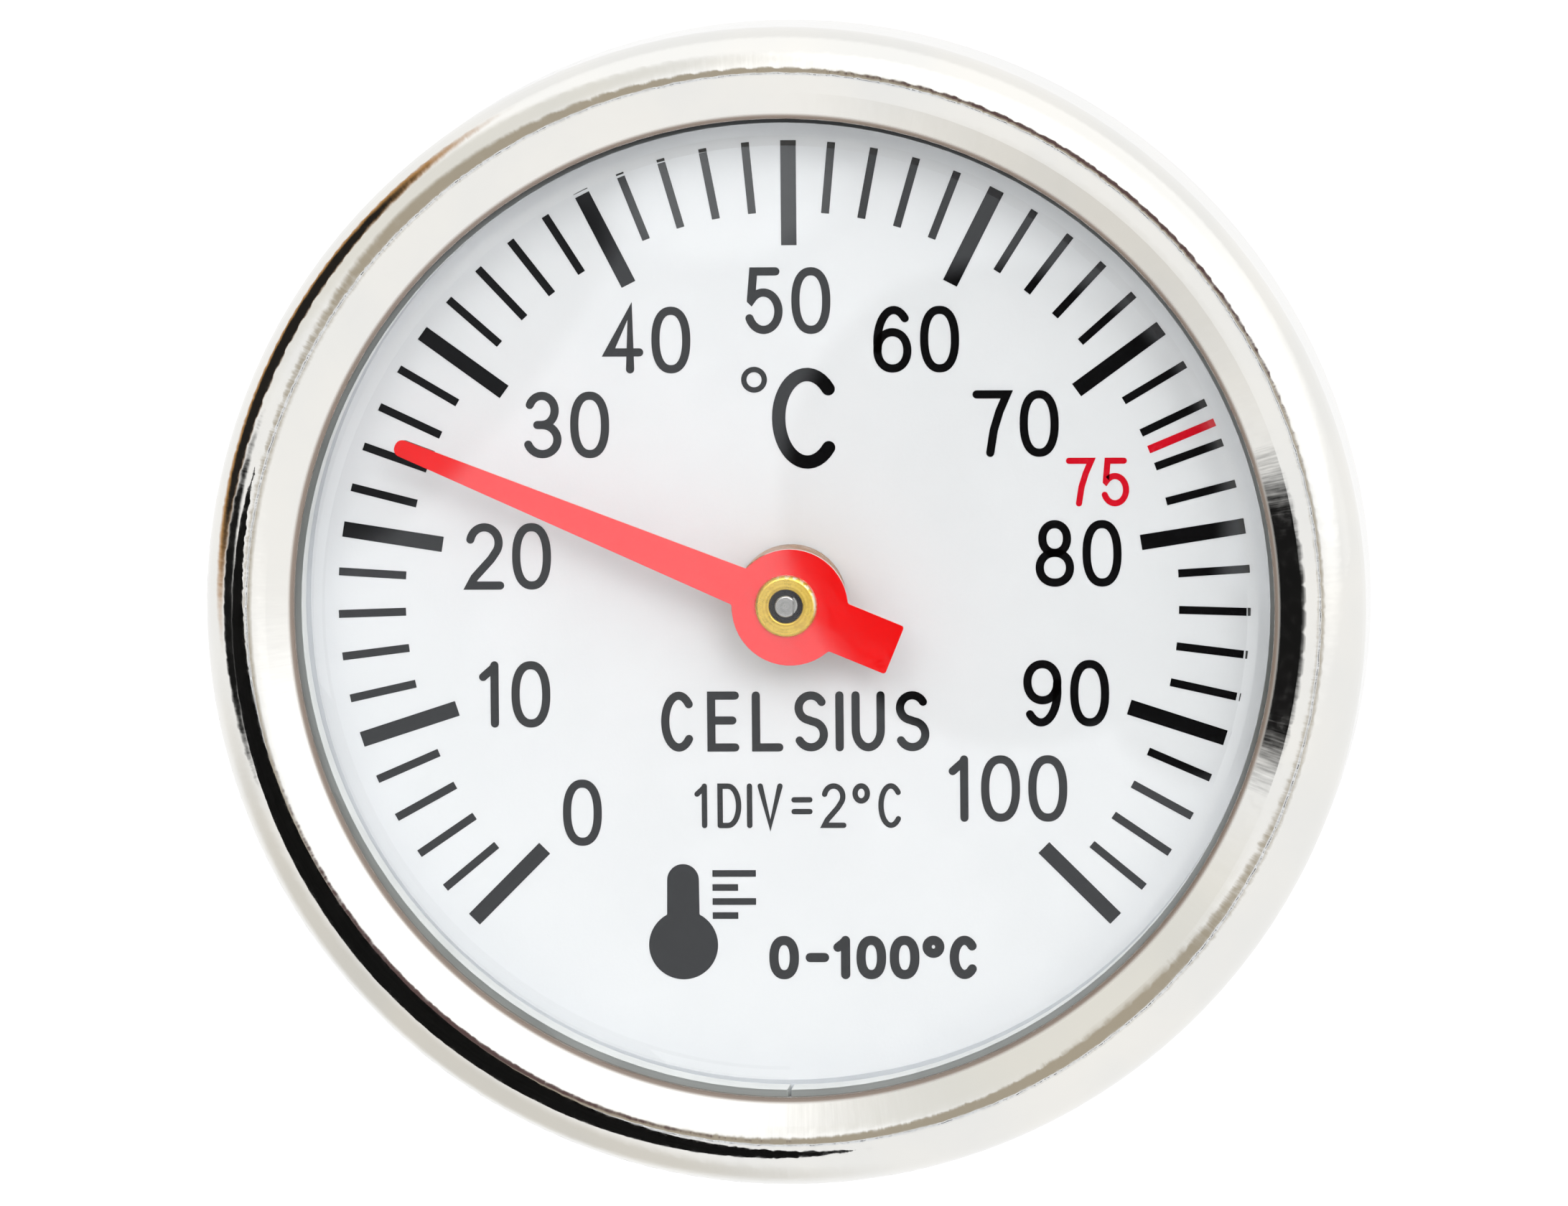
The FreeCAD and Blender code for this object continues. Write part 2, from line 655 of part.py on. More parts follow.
def make_bezel():
    """Drawn ring: a lip on the lens, a rounded crest, a skirt, and an edge crimped under the flange."""
    crest_radius = bezel_radius - d.bezel_crest_inset
    hollow_radius = crest_radius - d.bezel_hollow_inset
    hollow_front = crest_front - d.bezel_hollow_drop
    crimp_radius = bezel_bore - d.bezel_crimp_width
    body = turned("bezel", [
        (lens_edge_front, opening_radius),
        (lip_front, opening_radius),
        (crest_front, crest_radius),
        (shoulder, bezel_radius),
        (crimp_back, bezel_radius),
        (crimp_back, crimp_radius),
        (flange_back, crimp_radius),
        (flange_back, bezel_bore),
        (shoulder - d.bezel_skirt_drop, bezel_bore),
        (hollow_front, hollow_radius),
        (lens_edge_front, opening_radius + d.bezel_lip_width),
    ])
    round_rings(body, "bezel_crest", d.bezel_crest_rounding, [(crest_front, crest_radius)])
    round_rings(body, "bezel_shoulder", d.bezel_shoulder_rounding, [(shoulder, bezel_radius)])
    round_rings(body, "bezel_hollow", d.bezel_hollow_rounding, [(hollow_front, hollow_radius)])
    round_rings(body, "bezel_crimp", d.bezel_crimp_rounding, [(crimp_back, bezel_radius)])
    round_rings(body, "bezel_lip_edge", d.bezel_lip_rounding, [(lip_front, opening_radius)])


def check_and_export():
    """Stops on any failed object or shape, then writes one STEP file for each sub-part."""
    doc.recompute()
    for item in doc.Objects:
        if "Invalid" in item.State or "Error" in item.State:
            raise RuntimeError(f"{item.Name} failed: {item.State}")
    bodies = [item for item in doc.Objects if item.TypeId == "PartDesign::Body"]
    for body in bodies:
        shape = body.Shape
        if shape.isNull() or not shape.isValid() or not shape.Solids:
            raise RuntimeError(f"{body.Label} has no valid solid")
    os.makedirs("parts", exist_ok=True)
    for body in bodies:
        body.Shape.exportStep(f"parts/{body.Label}.step")
        print(f"{body.Label}: {len(body.Shape.Solids)} solid(s), {body.Shape.Volume:.3f} mm3")


for make in (
    make_stem_tube, make_tip_plug, make_calibration_nut, make_friction_washer, make_spring_washer,
    make_retaining_clip, make_front_bush, make_guide_bushes, make_bimetal_coil,
    make_shaft, make_collet, make_pointer_boss, make_pointer,
    make_case, make_dial_plate, make_spacer_ring, make_lens_gasket, make_lens, make_bezel,
):
    make()
check_and_export()
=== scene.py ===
"""Looks for the dial thermometer: materials for the CAD pieces, the printed dial, light and camera.

Metres, in the CAD's frame: +Y runs along the stem, -Y is the way the dial faces, +Z is up. Sizes given
in millimetres are multiplied by MM where they are used.
"""

import math

import bmesh
import bpy
from mathutils import Matrix, Vector


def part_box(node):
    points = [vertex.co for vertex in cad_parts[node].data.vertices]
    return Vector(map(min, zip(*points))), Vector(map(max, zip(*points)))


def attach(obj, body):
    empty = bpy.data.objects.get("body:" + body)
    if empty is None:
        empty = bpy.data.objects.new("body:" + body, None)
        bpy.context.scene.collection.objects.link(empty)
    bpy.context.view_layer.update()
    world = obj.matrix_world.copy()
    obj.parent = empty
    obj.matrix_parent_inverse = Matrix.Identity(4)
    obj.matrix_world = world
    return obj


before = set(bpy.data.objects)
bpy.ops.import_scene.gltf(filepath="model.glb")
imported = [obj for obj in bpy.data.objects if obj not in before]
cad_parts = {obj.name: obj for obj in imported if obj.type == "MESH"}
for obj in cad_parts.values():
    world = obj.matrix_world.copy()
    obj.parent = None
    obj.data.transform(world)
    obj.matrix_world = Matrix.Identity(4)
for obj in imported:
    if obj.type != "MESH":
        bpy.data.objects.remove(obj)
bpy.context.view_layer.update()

MM = 0.001

# ---- Camera ----
CAMERA_AZIMUTH = 4.1  # degrees to the right of the dial's axis
CAMERA_ELEVATION = 5.07
CAMERA_DISTANCE = 0.700
CAMERA_LENS = 415.7  # focal length and sensor in the camera's own millimetres
SENSOR_WIDTH = 36.0
CAMERA_ROLL = -0.5
CAMERA_NEAR, CAMERA_FAR = 0.05, 40.0
LIP_FRONT = -16.4 * MM  # front of the bezel's lip on the axis, where camera and lamps aim
AIM_RIGHT = 0.03 * MM
AIM_UP = 0.25 * MM

# ---- Radii where a piece's surface changes, millimetres ----
BEZEL_EDGE = 19.11  # painted shade: inside this radius the rounding at the opening is painted dark brown and not metallic
EDGE_SHADE_FADE = 0.16
BOSS_ROLL = 1.22
BOSS_RIM = (0.18, 0.06)  # the nicked rim starts and is full this far inside the roll's edge
# painted shade: the flange beyond the roll's edge is painted darker brown, fading in over this width
FLANGE_SHADE_FADE = 0.3
BOSS_HOLE = 0.63
HOLE_SHADE_FADE = (0.02, 0.05)  # painted shade in the hole fades in over these widths, inside and outside the hole's edge
NUT_CORNER = (5.35, 5.75)  # wear starts here and is full there

# ---- Scale and print, millimetres on the dial ----
DIAL_FRONT = round(-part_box("dial_plate")[0].y / MM, 4)
PRINT_SUNK = 0.01
PRINT_PROUD = 0.02
SCALE_START = 225.0  # angle of the zero mark, counterclockwise from +X
SCALE_STEP = 5.4  # from one mark to the next
SCALE_MARKS = 51
DEGREES_PER_MARK = 2
MARKS_PER_MAJOR = 5
MARK_OUTER = 17.72
MAJOR_INNER = 13.79
MINOR_INNER = 15.09
MAJOR_WIDTH = 0.60
MINOR_WIDTH = 0.31
MITRE_LIMIT = 0.45  # a stroke's corner reaches out at most its half width over this

LIMIT_READING = 75
LIMIT_COLOUR = (0.62, 0.004, 0.016)
LIMIT_HEIGHT = 1.9
LIMIT_PITCH = 1.36
LIMIT_STROKE = 0.24
LIMIT_WIDTH = 1.12

NUMERAL_HEIGHT = 2.6
NUMERAL_STROKE = 0.32
NUMERAL_PITCH = 1.84
NUMERAL_WIDTH = 1.52
NUMERAL_CENTRES = {
    0: (-8.26, -8.36), 10: (-10.80, -3.72), 20: (-11.07, 1.68), 30: (-8.75, 6.81),
    40: (-5.55, 10.11), 50: (-0.08, 11.63), 60: (4.92, 10.11), 70: (8.77, 6.81),
    80: (11.18, 1.74), 90: (10.66, -3.72), 100: (8.43, -7.44),
}
LIMIT_CENTRE = (11.95, 4.52)

UNIT_CENTRE = (0.66, 7.04)
UNIT_HEIGHT = 3.94
UNIT_WIDTH = 2.75
UNIT_STROKE = 0.52
DEGREE_CENTRE = (-1.40, 8.55)
DEGREE_RADIUS = 0.40
DEGREE_STROKE = 0.21

# Each caption: piece, words, centre, height, pitch, stroke and width of a wide character.
CAPTIONS = [
    ("caption_scale_name", "CELSIUS", (0.1, -4.8), 2.35, 1.72, 0.32, 1.38),
    ("caption_division", "1DIV=2oC", (0.25, -8.1), 1.75, 1.24, 0.21, 0.98),
    ("caption_range", "0-100oC", (3.1, -14.05), 1.7, 1.30, 0.36, 1.16),
]

SIGN_BULB = (-4.35, -13.55)
SIGN_BULB_RADIUS = 1.35
SIGN_BULB_ARC = (118, 422)  # degrees, open where the tube joins
SIGN_TUBE_RADIUS = 0.62
SIGN_TUBE_TOP = -11.0
SIGN_MARK_LENGTHS = (1.7, 1.0, 1.7, 1.0)
SIGN_MARK_START = 1.15  # right of the bulb's middle
SIGN_MARK_TOP = -10.75
SIGN_MARK_PITCH = 0.55
SIGN_MARK_WIDTH = 0.26


def direction(azimuth, elevation):
    """Unit vector; azimuth 0 is in front of the dial and grows to the right."""
    a, e = math.radians(azimuth), math.radians(elevation)
    return Vector((math.sin(a) * math.cos(e), -math.cos(a) * math.cos(e), math.sin(e)))


# ---- Material kit ----


class Nodes:
    """A node tree with short ways to add nodes and join them."""

    def __init__(self, tree):
        self.tree = tree
        self.tree.nodes.clear()

    def add(self, kind):
        return self.tree.nodes.new(kind)

    def link(self, source, target):
        self.tree.links.new(source, target)

    def feed(self, socket, value):
        if isinstance(value, bpy.types.NodeSocket):
            self.link(value, socket)
        elif value is not None:
            socket.default_value = value

    def math(self, operation, a, b=None, clamp=False):
        node = self.add("ShaderNodeMath")
        node.operation = operation
        node.use_clamp = clamp
        self.feed(node.inputs[0], a)
        self.feed(node.inputs[1], b)
        return node.outputs[0]

    def vector(self, operation, a, b=None, scale=None):
        node = self.add("ShaderNodeVectorMath")
        node.operation = operation
        self.feed(node.inputs[0], a)
        self.feed(node.inputs[1], b)
        if scale is not None:
            node.inputs["Scale"].default_value = scale
        return node.outputs["Value"] if operation in ("LENGTH", "DOT_PRODUCT") else node.outputs[0]

    def combine(self, x, y, z):
        node = self.add("ShaderNodeCombineXYZ")
        for socket, value in zip(node.inputs, (x, y, z)):
            self.feed(socket, value)
        return node.outputs[0]

    def remap(self, value, low, high, to_low=0.0, to_high=1.0):
        node = self.add("ShaderNodeMapRange")
        node.interpolation_type = "SMOOTHSTEP"
        for socket, number in zip(node.inputs, (value, low, high, to_low, to_high)):
            self.feed(socket, number)
        return node.outputs[0]

    def blend(self, amount, first, second):
        """Mixes two colours, each a socket or a tuple of red, green and blue."""
        node = self.add("ShaderNodeMix")
        node.data_type = "RGBA"
        self.feed(node.inputs["Factor"], amount)
        for socket, colour in zip((node.inputs[6], node.inputs[7]), (first, second)):
            self.feed(socket, (*colour, 1.0) if isinstance(colour, tuple) else colour)
        return node.outputs[2]


class Look(Nodes):
    """A material under construction: a Principled shader, with patterns in the object's millimetres."""

    def __init__(self, name):
        self.material = bpy.data.materials.new(name)
        self.material.use_nodes = True
        super().__init__(self.material.node_tree)
        self.output = self.add("ShaderNodeOutputMaterial")
        self.shader = self.add("ShaderNodeBsdfPrincipled")
        self.link(self.shader.outputs[0], self.output.inputs["Surface"])
        coordinates = self.add("ShaderNodeTexCoord")
        self.place = self.vector("SCALE", coordinates.outputs["Object"], scale=1 / MM)

    def set(self, **values):
        """Sets or links shader inputs; an underscore in a name stands for a space."""
        for name, value in values.items():
            self.feed(self.shader.inputs[name.replace("_", " ")], value)

    def axes(self):
        """x, y and z in millimetres."""
        node = self.add("ShaderNodeSeparateXYZ")
        self.link(self.place, node.inputs[0])
        return node.outputs

    def radius(self):
        """Distance from the stem's axis, millimetres."""
        x, _, z = self.axes()
        return self.vector("LENGTH", self.combine(x, 0.0, z))

    def around(self, per_turn, radial=0.0, axial=0.0):
        """Coordinates that go round the axis, with so many cells in a turn and per millimetre."""
        x, y, z = self.axes()
        ring = self.vector("NORMALIZE", self.combine(x, 0.0, z))
        ring = self.vector("SCALE", ring, scale=per_turn / math.tau)
        lift = self.math("ADD", self.math("MULTIPLY", self.radius(), radial),
                         self.math("MULTIPLY", y, axial))
        return self.vector("ADD", ring, self.combine(0.0, lift, 0.0))

    def circles(self, per_mm):
        """Coordinates for marks that run round the axis, as turning and polishing leave them."""
        return self.vector("SCALE", self.combine(self.radius(), self.axes()[1], 0.0), scale=per_mm)

    def noise(self, where=None, scale=1.0, detail=2.0, roughness=0.5):
        node = self.add("ShaderNodeTexNoise")
        self.link(where if where is not None else self.place, node.inputs["Vector"])
        node.inputs["Scale"].default_value = scale
        node.inputs["Detail"].default_value = detail
        node.inputs["Roughness"].default_value = roughness
        return node.outputs["Fac"]

    def bump(self, height, depth, normal=None):
        """A bump whose full height is depth millimetres."""
        node = self.add("ShaderNodeBump")
        node.inputs["Strength"].default_value = 1.0
        node.inputs["Distance"].default_value = depth * MM
        self.link(height, node.inputs["Height"])
        if normal is not None:
            self.link(normal, node.inputs["Normal"])
        return node.outputs[0]


def dress(look, *nodes):
    """Puts a look's material on CAD nodes."""
    for name in nodes:
        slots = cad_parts[name].data.materials
        slots.clear()
        slots.append(look.material)


def add_object(name, shape, look):
    """Turns a bmesh into an object in the scene, in one material."""
    mesh = bpy.data.meshes.new(name)
    shape.to_mesh(mesh)
    shape.free()
    mesh.materials.append(look.material)
    piece = bpy.data.objects.new(name, mesh)
    bpy.context.scene.collection.objects.link(piece)
    return piece


# ---- Metals ----


def polished_nickel():
    """Nickel over drawn steel: nearly a mirror, with orange peel and fine radial draw lines."""
    look = Look("bezel_nickel")
    peel = look.noise(look.around(150, radial=0.9, axial=0.9), scale=1.0, detail=2.5)
    lines = look.noise(look.around(900, radial=0.5, axial=0.5), scale=1.0, detail=1.5)
    rings = look.noise(look.circles(3.0), scale=1.0, detail=2.0)
    cloud = look.noise(scale=0.22, detail=2.0)
    tint = look.blend(look.remap(cloud, 0.3, 0.7), (0.87, 0.855, 0.815), (0.83, 0.825, 0.80))
    dull = look.remap(look.noise(scale=2.4, detail=4.0), 0.35, 0.75, 0.045, 0.12)
    normal = look.bump(peel, 0.010)
    normal = look.bump(lines, 0.0012, normal=normal)
    normal = look.bump(rings, 0.0015, normal=normal)
    # painted shade: the rounding at the opening is painted dark brown and not metallic, fading to
    # polished nickel further out
    unshaded = look.remap(look.radius(), BEZEL_EDGE, BEZEL_EDGE + EDGE_SHADE_FADE)
    colour = look.blend(unshaded, (0.22, 0.175, 0.145), tint)
    look.set(Base_Color=colour, Metallic=unshaded, Roughness=dull, Normal=normal)
    return look


def turned_steel(name, light, dark, rough, groove=0.0016):
    """Steel with fine lines round the axis, cloudy where it has been handled."""
    look = Look(name)
    lines = look.noise(look.circles(9.0), scale=1.0, detail=3.0, roughness=0.6)
    cloud = look.noise(scale=0.35, detail=3.0)
    smudge = look.remap(cloud, 0.35, 0.7)
    colour = look.blend(look.remap(lines, 0.3, 0.7), dark, light)
    colour = look.blend(look.math("MULTIPLY", smudge, 0.35), colour, dark)
    gloss = look.math("ADD", look.remap(lines, 0.2, 0.8, rough * 0.75, rough * 1.15),
                      look.math("MULTIPLY", smudge, 0.06))
    look.set(Base_Color=colour, Metallic=1.0, Roughness=gloss, Normal=look.bump(lines, groove))
    return look


def nut_nickel():
    """Bright plating over turned brass: file marks across the flats and worn, warmer edges."""
    look = Look("nut_nickel")
    x, y, z = look.axes()
    marks = look.noise(look.combine(look.math("MULTIPLY", x, 0.6), look.math("MULTIPLY", y, 14.0),
                                    look.math("MULTIPLY", z, 0.6)), scale=1.0, detail=3.0)
    corner = look.remap(look.radius(), *NUT_CORNER)
    patchy = look.math("MULTIPLY", corner, look.remap(look.noise(scale=1.6, detail=3.0), 0.42, 0.62))
    colour = look.blend(patchy, (0.80, 0.785, 0.75), (0.72, 0.60, 0.36))
    gloss = look.remap(marks, 0.25, 0.75, 0.13, 0.24)
    look.set(Base_Color=colour, Metallic=1.0, Roughness=gloss, Normal=look.bump(marks, 0.004))
    return look


def brass():
    """Turned brass: tool lines, a thin brown tarnish in patches, and brighter high spots."""
    look = Look("brass_turned")
    lines = look.noise(look.circles(11.0), scale=1.0, detail=2.5)
    spots = look.noise(scale=2.2, detail=4.0, roughness=0.6)
    colour = look.blend(look.remap(lines, 0.3, 0.7), (0.55, 0.34, 0.055), (0.78, 0.52, 0.13))
    colour = look.blend(look.remap(spots, 0.52, 0.72, 0.0, 0.75), colour, (0.42, 0.22, 0.04))
    gloss = look.remap(spots, 0.3, 0.7, 0.20, 0.38)
    normal = look.bump(lines, 0.006)
    normal = look.bump(spots, 0.012, normal=normal)
    look.set(Base_Color=colour, Metallic=1.0, Roughness=gloss, Normal=normal)
    return look


def boss_brass():
    """Brass boss: bright rolled end nicked by riveting, its nicks painted pale on the upper right as a
    highlight; flange painted darker brown and hole painted near black as shade.
    """
    look = Look("boss_brass")
    lines = look.noise(look.circles(11.0), scale=1.0, detail=2.5)
    spots = look.noise(scale=2.2, detail=4.0, roughness=0.6)
    chips = look.noise(scale=5.0, detail=2.0)
    x, _, z = look.axes()
    # painted highlight: the nicks on the rim are real, but they are painted pale only on the upper
    # right, where the light falls
    highlight_side = look.remap(look.math("ADD", x, z), 0.5, 1.2)
    start, full = (BOSS_ROLL - inset for inset in BOSS_RIM)
    rim = look.math("MULTIPLY", look.remap(look.radius(), start, full),
                    look.remap(chips, 0.42, 0.55))
    colour = look.blend(look.remap(lines, 0.3, 0.7), (0.68, 0.46, 0.065), (0.90, 0.65, 0.13))
    colour = look.blend(look.remap(spots, 0.52, 0.72, 0.0, 0.6), colour, (0.55, 0.34, 0.06))
    colour = look.blend(look.math("MULTIPLY", rim, highlight_side), colour, (0.95, 0.88, 0.72))
    # painted shade: beyond the rolled end the flange is painted darker brown
    flange = look.remap(look.radius(), BOSS_ROLL, BOSS_ROLL + FLANGE_SHADE_FADE)
    colour = look.blend(flange, colour, (0.47, 0.21, 0.050))
    # painted shade: the hole is painted near black
    inside = look.remap(look.radius(), BOSS_HOLE - HOLE_SHADE_FADE[0], BOSS_HOLE + HOLE_SHADE_FADE[1], 1.0, 0.0)
    colour = look.blend(inside, colour, (0.012, 0.006, 0.004))
    normal = look.bump(lines, 0.006)
    normal = look.bump(spots, 0.012, normal=normal)
    look.set(Base_Color=colour, Metallic=1.0,
             Roughness=look.remap(spots, 0.3, 0.7, 0.20, 0.38), Normal=normal)
    return look


def bimetal():
    """Rolled strip in two metals, straw-coloured where it was heat-treated."""
    look = Look("bimetal_strip")
    rolled = look.noise(look.around(60, axial=5.0), scale=1.0, detail=3.0)
    straw = look.remap(look.noise(scale=0.5), 0.35, 0.65)
    colour = look.blend(straw, (0.50, 0.49, 0.47), (0.52, 0.43, 0.27))
    look.set(Base_Color=colour, Metallic=1.0, Roughness=look.remap(rolled, 0.2, 0.8, 0.24, 0.42),
             Normal=look.bump(rolled, 0.003))
    return look


# ---- Paint, print, rings and lens ----


def pointer_enamel():
    """Red enamel on a stamped plate, with its side faces painted pale pink as a highlight."""
    look = Look("pointer_enamel")
    flow = look.noise(scale=0.7, detail=2.0)
    speck = look.noise(scale=14.0, detail=2.0)
    colour = look.blend(look.remap(flow, 0.3, 0.7), (0.88, 0.0006, 0.001), (0.83, 0.0006, 0.0008))
    # painted highlight: faces that turn away from the dial's front are painted pale pink
    geometry = look.add("ShaderNodeNewGeometry")
    facing = look.vector("DOT_PRODUCT", geometry.outputs["Normal"], (0.0, -1.0, 0.0))
    edge_highlight = look.math("SUBTRACT", 1.0, look.math("ABSOLUTE", facing), clamp=True)
    colour = look.blend(look.remap(edge_highlight, 0.3, 0.95, 0.0, 0.72), colour, (0.93, 0.50, 0.46))
    normal = look.bump(flow, 0.0012)
    look.set(Base_Color=colour, Roughness=look.remap(speck, 0.3, 0.7, 0.02, 0.05),
             Specular_IOR_Level=0.8, Coat_Weight=1.0, Coat_Roughness=0.02, Coat_IOR=1.5, Normal=normal)
    return look


def dial_enamel():
    """Cool white matt enamel with a faint grain and very slight mottling."""
    look = Look("dial_enamel")
    grain = look.noise(scale=9.0, detail=3.0)
    mottle = look.noise(scale=0.25, detail=2.0)
    colour = look.blend(look.remap(mottle, 0.3, 0.7), (0.742, 0.754, 0.768), (0.760, 0.771, 0.785))
    colour = look.blend(look.remap(grain, 0.55, 0.8, 0.0, 0.25), colour, (0.722, 0.735, 0.750))
    look.set(Base_Color=colour, Roughness=look.remap(grain, 0.3, 0.7, 0.48, 0.6),
             Normal=look.bump(grain, 0.003))
    return look


def ink(name, colour, thin):
    """Screen-printing ink: slightly uneven cover and a faintly rough skin."""
    look = Look(name)
    cover = look.noise(scale=5.0, detail=4.0, roughness=0.6)
    look.set(Base_Color=look.blend(look.remap(cover, 0.45, 0.85, 0.0, 0.6), colour, thin),
             Roughness=look.remap(cover, 0.3, 0.7, 0.42, 0.58), Specular_IOR_Level=0.03,
             Normal=look.bump(cover, 0.004))
    return look


def strip_ring(name, light, dark, rough, per_turn, shine=0.5):
    """Soft or satin strip bent into a ring: drawn lines along it and faint cross marks."""
    look = Look(name)
    along = look.noise(look.circles(6.0), scale=1.0, detail=3.0)
    across = look.noise(look.around(per_turn, axial=0.2), scale=1.0, detail=3.0)
    mixed = look.math("ADD", look.math("MULTIPLY", along, 0.6), look.math("MULTIPLY", across, 0.4))
    look.set(Base_Color=look.blend(look.remap(mixed, 0.3, 0.7), dark, light),
             Roughness=look.remap(along, 0.3, 0.7, rough * 0.9, rough * 1.15),
             Specular_IOR_Level=shine, Normal=look.bump(mixed, 0.006))
    return look


def fibre():
    """Red vulcanised fibre with short pressed strands."""
    look = Look("washer_fibre")
    strands = look.noise(look.around(90, radial=3.0), scale=1.0, detail=4.0)
    colour = look.blend(look.remap(strands, 0.3, 0.7), (0.24, 0.05, 0.035), (0.40, 0.10, 0.07))
    look.set(Base_Color=colour, Roughness=0.72, Normal=look.bump(strands, 0.01))
    return look


def clear_lens():
    """Clear lens: shadow rays pass straight through, so the dial is lit as through air."""
    look = Look("lens_clear")
    haze = look.noise(scale=0.8, detail=5.0)
    look.set(Base_Color=(0.985, 0.992, 0.992, 1.0), Roughness=look.remap(haze, 0.5, 0.9, 0.0, 0.012),
             IOR=1.47, Transmission_Weight=1.0, Specular_IOR_Level=0.5)
    path = look.add("ShaderNodeLightPath")
    clear = look.add("ShaderNodeBsdfTransparent")
    mix = look.add("ShaderNodeMixShader")
    look.link(path.outputs["Is Shadow Ray"], mix.inputs[0])
    look.link(look.shader.outputs[0], mix.inputs[1])
    look.link(clear.outputs[0], mix.inputs[2])
    look.link(mix.outputs[0], look.output.inputs["Surface"])
    return look


def dress_cad():
    """Gives every CAD node its material."""
    dress(polished_nickel(), "bezel")
    dress(turned_steel("case_steel", (0.74, 0.73, 0.71), (0.52, 0.515, 0.505), 0.24), "case")
    dress(turned_steel("stem_steel", (0.78, 0.77, 0.75), (0.56, 0.555, 0.545), 0.20),
          "stem_tube", "tip_plug")
    dress(turned_steel("spring_steel", (0.66, 0.655, 0.645), (0.42, 0.42, 0.42), 0.26, groove=0.003),
          "spring_washer", "retaining_clip", "shaft")
    dress(nut_nickel(), "calibration_nut")
    dress(fibre(), "friction_washer")
    dress(brass(), "front_bush", "guide_bush_lower", "guide_bush_upper", "coil_collet")
    dress(boss_brass(), "pointer_boss")
    dress(bimetal(), "bimetal_coil")
    dress(pointer_enamel(), "pointer")
    dress(dial_enamel(), "dial_plate")
    dress(strip_ring("spacer_satin", (0.60, 0.63, 0.665), (0.49, 0.515, 0.545), 0.42, 26),
          "spacer_ring")
    dress(strip_ring("gasket_rubber", (0.88, 0.90, 0.88), (0.74, 0.76, 0.745), 0.34, 44, shine=0.9),
          "lens_gasket")
    dress(clear_lens(), "lens")


# ---- Strokes: paths in the dial's plane, (x, z) in millimetres ----


def arc(cx, cz, rx, rz, start, end, steps=18):
    """Points on an ellipse from one angle to another, degrees."""
    return [
        (cx + rx * math.cos(math.radians(a)), cz + rz * math.sin(math.radians(a)))
        for a in (start + (end - start) * k / steps for k in range(steps + 1))
    ]


def oval(cx, cz, rx, rz, squareness=2.3, steps=44):
    """A closed path that is a little fuller than an ellipse."""
    power = 2 / squareness
    points = []
    for k in range(steps):
        c, s = math.cos(math.tau * k / steps), math.sin(math.tau * k / steps)
        points.append((cx + rx * math.copysign(abs(c) ** power, c),
                       cz + rz * math.copysign(abs(s) ** power, s)))
    return points


# Every glyph is drawn between -1 and 1 both ways: a list of (path, closed) strokes.
GLYPHS = {
    "0": [(oval(0, 0, 1, 1), True)],
    "1": [([(0.12, 1.0), (0.12, -1.0)], False), ([(-0.62, 0.60), (0.12, 0.94)], False)],
    "2": [(arc(0, 0.47, 0.93, 0.53, 168, -32)
           + [(0.42, -0.10), (-0.66, -0.72), (-0.95, -1.0), (1.0, -1.0)], False)],
    "3": [(arc(-0.04, 0.50, 0.84, 0.50, 158, -90) + [(-0.34, 0.0)], False),
          (arc(-0.02, -0.50, 0.98, 0.50, 90, -160), False)],
    "4": [([(0.40, -1.0), (0.40, 1.0), (-1.0, -0.42), (1.0, -0.42)], False)],
    "5": [([(0.78, 1.0), (-0.66, 1.0), (-0.82, 0.02)]
           + arc(-0.02, -0.36, 0.98, 0.64, 144, -158, 26), False)],
    "6": [(oval(0, -0.38, 0.97, 0.62, 2.1), True),
          (arc(0.10, -0.10, 1.07, 1.10, 48, 192), False)],
    "7": [([(-0.98, 1.0), (0.98, 1.0), (0.50, 0.42), (0.12, -0.22), (-0.12, -1.0)], False)],
    "8": [(oval(0, 0.51, 0.80, 0.49, 2.1), True), (oval(0, -0.49, 0.98, 0.51, 2.1), True)],
    "9": [(oval(0, 0.38, 0.97, 0.62, 2.1), True),
          (arc(-0.10, 0.10, 1.07, 1.10, 228, 372), False)],
    "C": [(arc(0, 0, 1, 1, 42, 318, 30), False)],
    "D": [([(-0.9, -1.0), (-0.9, 1.0), (-0.1, 1.0)] + arc(-0.1, 0, 1.08, 1.0, 80, -80)
           + [(-0.1, -1.0), (-0.9, -1.0)], False)],
    "E": [([(0.9, 1.0), (-0.85, 1.0), (-0.85, -1.0), (0.9, -1.0)], False),
          ([(-0.85, 0.04), (0.7, 0.04)], False)],
    "I": [([(0, 1.0), (0, -1.0)], False)],
    "L": [([(-0.8, 1.0), (-0.8, -1.0), (0.9, -1.0)], False)],
    "S": [(arc(0, 0.52, 0.9, 0.48, 28, 262) + arc(0, -0.50, 0.95, 0.50, 84, -152), False)],
    "U": [([(-0.92, 1.0)] + arc(0, -0.32, 0.92, 0.68, 180, 360) + [(0.92, 1.0)], False)],
    "V": [([(-1.0, 1.0), (0, -1.0), (1.0, 1.0)], False)],
    "=": [([(-0.8, 0.3), (0.8, 0.3)], False), ([(-0.8, -0.3), (0.8, -0.3)], False)],
    "-": [([(-0.7, 0.0), (0.7, 0.0)], False)],
    "o": [(oval(-0.1, 0.62, 0.62, 0.38, 2.0, 28), True)],  # the degree ring
}
NARROW = {"1": 0.62, "I": 0.3, "o": 0.8}  # share of the usual pitch


